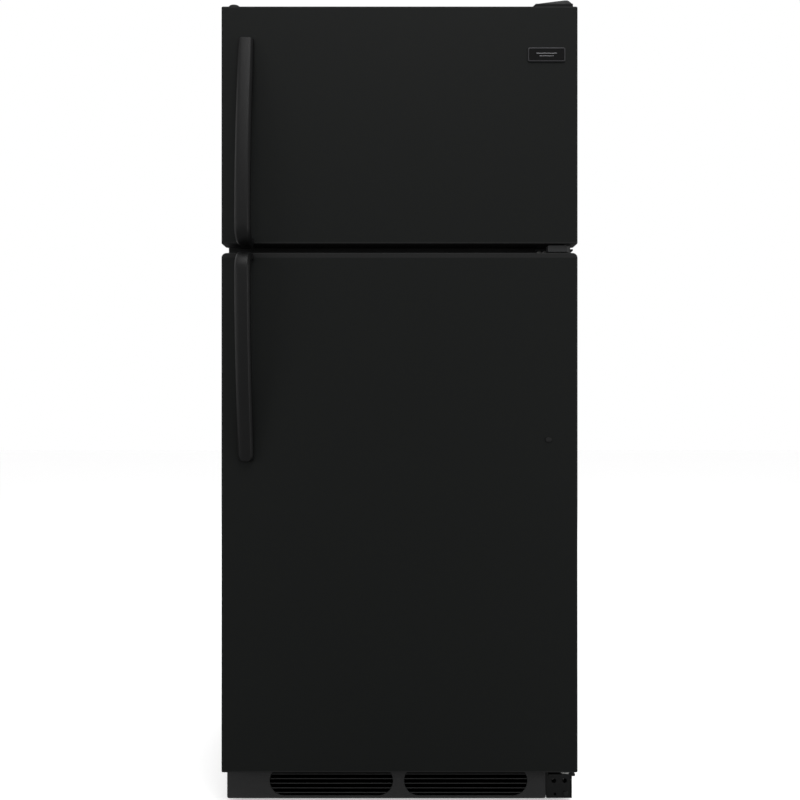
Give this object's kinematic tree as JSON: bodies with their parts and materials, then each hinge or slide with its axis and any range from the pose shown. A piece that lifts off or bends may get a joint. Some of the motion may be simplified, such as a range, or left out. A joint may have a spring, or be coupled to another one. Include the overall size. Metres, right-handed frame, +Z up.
{
  "type": "top freezer refrigerator",
  "caption": "Free-standing black top freezer refrigerator with a small freezer door over a tall fridge door, bowed bar handles on the left, hinges on the right and a louvred kick plate.",
  "frame": {"origin": "on the floor, at the middle of the width and depth of the whole outline", "axes": "+Z up, the doors face -Y, +X towards the hinge side, which is on the right of someone facing the doors"},
  "size_m": [0.762, 0.869, 1.748],
  "materials": {
    "black_enamel": "satin",
    "black_plastic": "satin",
    "handle_plastic": "satin",
    "grille_plastic": "satin",
    "nameplate_metal": "satin",
    "liner_plastic": "gloss",
    "foam": "matte",
    "zinc_steel": "satin",
    "hinge_steel": "satin",
    "center_hinge_metal": "satin",
    "gasket_rubber": "matte",
    "roller_plastic": "matte",
    "compressor_black": "gloss",
    "condenser_steel": "matte",
    "fan_plastic": "satin",
    "motor_metal": "satin",
    "evaporator_aluminium": "satin",
    "heater_steel": "satin",
    "white_plastic": "satin",
    "wire_white": "gloss",
    "clear_plastic": "gloss",
    "shelf_glass": "gloss",
    "lens_plastic": "satin",
    "knob_plastic": "satin",
    "rear_sheet": "satin"
  },
  "bodies": {
    "cabinet": {"cabinet_shell": "black_enamel", "cabinet_back_panel": "zinc_steel", "foam_insulation": "foam", "base_frame": "hinge_steel", "freezer_liner": "liner_plastic", "fridge_liner": "liner_plastic", "center_rail": "hinge_steel", "toe_grille": "grille_plastic", "top_hinge_bracket": "hinge_steel", "top_hinge_cover": "black_plastic", "center_hinge_bracket": "center_hinge_metal", "bottom_hinge_bracket": "hinge_steel", "hinge_screws": "zinc_steel", "rear_cover": "rear_sheet", "cord_gland": "black_plastic", "compressor": "compressor_black", "condenser_coil": "condenser_steel", "condenser_fan_motor": "motor_metal", "drain_pan": "black_plastic", "evaporator_coil": "evaporator_aluminium", "defrost_heater": "heater_steel", "evaporator_fan_motor": "motor_metal", "evaporator_cover": "white_plastic", "freezer_shelf": "wire_white", "fridge_shelf_frames": "white_plastic", "fridge_shelf_glass": "shelf_glass", "crisper_cover": "white_plastic", "control_housing": "white_plastic", "light_cover": "lens_plastic"},
    "condenser_fan": {"condenser_fan_blade": "fan_plastic"},
    "evaporator_fan": {"evaporator_fan_blade": "fan_plastic"},
    "crisper_left": {"crisper_left": "clear_plastic"},
    "crisper_right": {"crisper_right": "clear_plastic"},
    "deli_drawer": {"deli_drawer": "clear_plastic"},
    "humidity_slider_left": {"humidity_slider_left": "knob_plastic"},
    "humidity_slider_right": {"humidity_slider_right": "knob_plastic"},
    "fridge_control_knob": {"fridge_control_knob": "knob_plastic"},
    "freezer_control_knob": {"freezer_control_knob": "knob_plastic"},
    "light_switch": {"light_switch": "white_plastic"},
    "front_leg_left": {"front_leg_left": "zinc_steel"},
    "front_leg_right": {"front_leg_right": "zinc_steel"},
    "rear_roller_left": {"rear_roller_left": "roller_plastic"},
    "rear_roller_right": {"rear_roller_right": "roller_plastic"},
    "freezer_door": {"freezer_door_skin": "black_enamel", "freezer_door_foam": "foam", "freezer_door_liner": "liner_plastic", "freezer_door_end_caps": "black_plastic", "freezer_door_gasket": "gasket_rubber", "freezer_door_bins": "clear_plastic", "freezer_door_handle": "handle_plastic", "freezer_door_plug": "black_plastic", "nameplate": "nameplate_metal"},
    "fridge_door": {"fridge_door_skin": "black_enamel", "fridge_door_foam": "foam", "fridge_door_liner": "liner_plastic", "fridge_door_end_caps": "black_plastic", "fridge_door_gasket": "gasket_rubber", "fridge_door_bins": "clear_plastic", "fridge_door_handle": "handle_plastic"},
    "dairy_door": {"dairy_door": "clear_plastic"}
  },
  "joints": [
    {"name": "freezer_door_hinge", "type": "hinge", "parent": "cabinet", "child": "freezer_door", "pos_m": [0.357, -0.3475, 1.467], "axis": [0, 0, 1], "range_deg": [0, 130]},
    {"name": "fridge_door_hinge", "type": "hinge", "parent": "cabinet", "child": "fridge_door", "pos_m": [0.357, -0.3475, 0.639], "axis": [0, 0, 1], "range_deg": [0, 130]},
    {"name": "dairy_flap_hinge", "type": "hinge", "parent": "fridge_door", "child": "dairy_door", "pos_m": [-0.15, -0.222, 1.082], "axis": [1, 0, 0], "range_deg": [0, 85]},
    {"name": "crisper_left_slide", "type": "slide", "parent": "cabinet", "child": "crisper_left", "axis": [0, -1, 0], "range_m": [0, 0.085]},
    {"name": "crisper_right_slide", "type": "slide", "parent": "cabinet", "child": "crisper_right", "axis": [0, -1, 0], "range_m": [0, 0.085]},
    {"name": "deli_drawer_slide", "type": "slide", "parent": "cabinet", "child": "deli_drawer", "axis": [0, -1, 0], "range_m": [0, 0.13]},
    {"name": "humidity_left_slide", "type": "slide", "parent": "cabinet", "child": "humidity_slider_left", "axis": [1, 0, 0], "range_m": [-0.02, 0.02]},
    {"name": "humidity_right_slide", "type": "slide", "parent": "cabinet", "child": "humidity_slider_right", "axis": [1, 0, 0], "range_m": [-0.02, 0.02]},
    {"name": "fridge_control_turn", "type": "hinge", "parent": "cabinet", "child": "fridge_control_knob", "pos_m": [-0.11, -0.24, 1.146], "axis": [0, -1, 0], "range_deg": [-120, 120]},
    {"name": "freezer_control_turn", "type": "hinge", "parent": "cabinet", "child": "freezer_control_knob", "pos_m": [0.04, -0.24, 1.146], "axis": [0, -1, 0], "range_deg": [-120, 120]},
    {"name": "light_switch_travel", "type": "slide", "parent": "cabinet", "child": "light_switch", "axis": [0, -1, 0], "range_m": [0, 0.008]},
    {"name": "front_leg_left_adjust", "type": "slide", "parent": "cabinet", "child": "front_leg_left", "axis": [0, 0, -1], "range_m": [0, 0.015]},
    {"name": "front_leg_right_adjust", "type": "slide", "parent": "cabinet", "child": "front_leg_right", "axis": [0, 0, -1], "range_m": [0, 0.015]},
    {"name": "rear_roller_left_spin", "type": "hinge", "parent": "cabinet", "child": "rear_roller_left", "pos_m": [-0.3, 0.385, 0.02], "axis": [1, 0, 0], "continuous": true},
    {"name": "rear_roller_right_spin", "type": "hinge", "parent": "cabinet", "child": "rear_roller_right", "pos_m": [0.3, 0.385, 0.02], "axis": [1, 0, 0], "continuous": true},
    {"name": "condenser_fan_spin", "type": "hinge", "parent": "cabinet", "child": "condenser_fan", "pos_m": [0.03, 0.305, 0.15], "axis": [1, 0, 0], "continuous": true},
    {"name": "evaporator_fan_spin", "type": "hinge", "parent": "cabinet", "child": "evaporator_fan", "pos_m": [0, 0.32, 1.54], "axis": [0, 1, 0], "continuous": true}
  ],
  "couplings": [
    {"joint": "light_switch_travel", "follows": "fridge_door_hinge", "m_per_rad": 0.0035}
  ]
}
